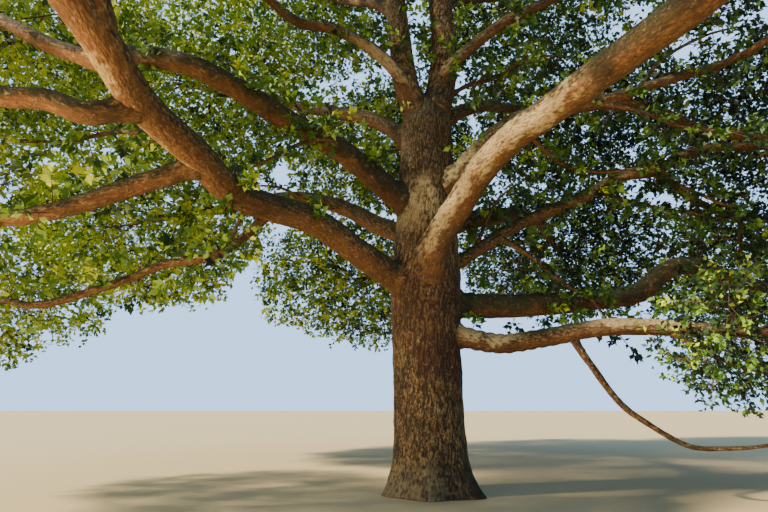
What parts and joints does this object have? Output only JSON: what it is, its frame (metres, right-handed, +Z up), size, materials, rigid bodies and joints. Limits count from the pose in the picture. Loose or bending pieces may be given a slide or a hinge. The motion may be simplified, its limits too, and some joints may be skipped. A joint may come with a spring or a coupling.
{
  "type": "oak tree",
  "caption": "Old open-grown oak: a short stout trunk forking low into heavy, wide-spreading boughs under a broad domed crown of leaves, rooted flat in level ground.",
  "frame": {"origin": "middle of the flat cut under the trunk, at ground level", "axes": "+Z up along the trunk, -Y the side that the picture sees, +X to the right from there"},
  "size_m": [21.7359, 21.664, 16.5462],
  "materials": {
    "bark": "rough, deeply ridged grey-brown bark",
    "leaf": "soft green summer leaves"
  },
  "bodies": {
    "root": {"trunk": "bark", "bough_left_front": "bark", "bough_right_front": "bark", "bough_right_level": "bark", "bough_right_low": "bark", "bough_left_back": "bark", "bough_right_behind": "bark", "bough_right_back": "bark", "bough_back": "bark", "bough_back_left": "bark", "bough_back_right": "bark", "bough_back_high": "bark", "bough_back_left_high": "bark", "bough_back_right_high": "bark", "bough_left_high": "bark", "bough_leader_right": "bark", "bough_leader_left": "bark", "bough_left_low": "bark", "bough_left_mid": "bark", "bough_left_long": "bark", "bough_left_front_up": "bark", "bough_right_front_up": "bark", "bough_right_droop": "bark", "bough_right_rise": "bark", "bough_right_back_low": "bark", "bough_left_rise": "bark", "bough_front": "bark", "bough_right_high": "bark", "bough_front_high": "bark", "bough_top_back_left": "bark", "bough_top_back_right": "bark", "foliage_left_front": "leaf", "foliage_right_front": "leaf", "foliage_right_level": "leaf", "foliage_right_low": "leaf", "foliage_left_back": "leaf", "foliage_right_behind": "leaf", "foliage_right_back": "leaf", "foliage_back": "leaf", "foliage_back_left": "leaf", "foliage_back_right": "leaf", "foliage_back_high": "leaf", "foliage_back_left_high": "leaf", "foliage_back_right_high": "leaf", "foliage_left_high": "leaf", "foliage_leader_right": "leaf", "foliage_leader_left": "leaf", "foliage_left_low": "leaf", "foliage_left_mid": "leaf", "foliage_left_long": "leaf", "foliage_left_front_up": "leaf", "foliage_right_front_up": "leaf", "foliage_right_rise": "leaf", "foliage_right_back_low": "leaf", "foliage_left_rise": "leaf", "foliage_front": "leaf", "foliage_right_high": "leaf", "foliage_front_high": "leaf", "foliage_top_back_left": "leaf", "foliage_top_back_right": "leaf"}
  },
  "joints": []
}
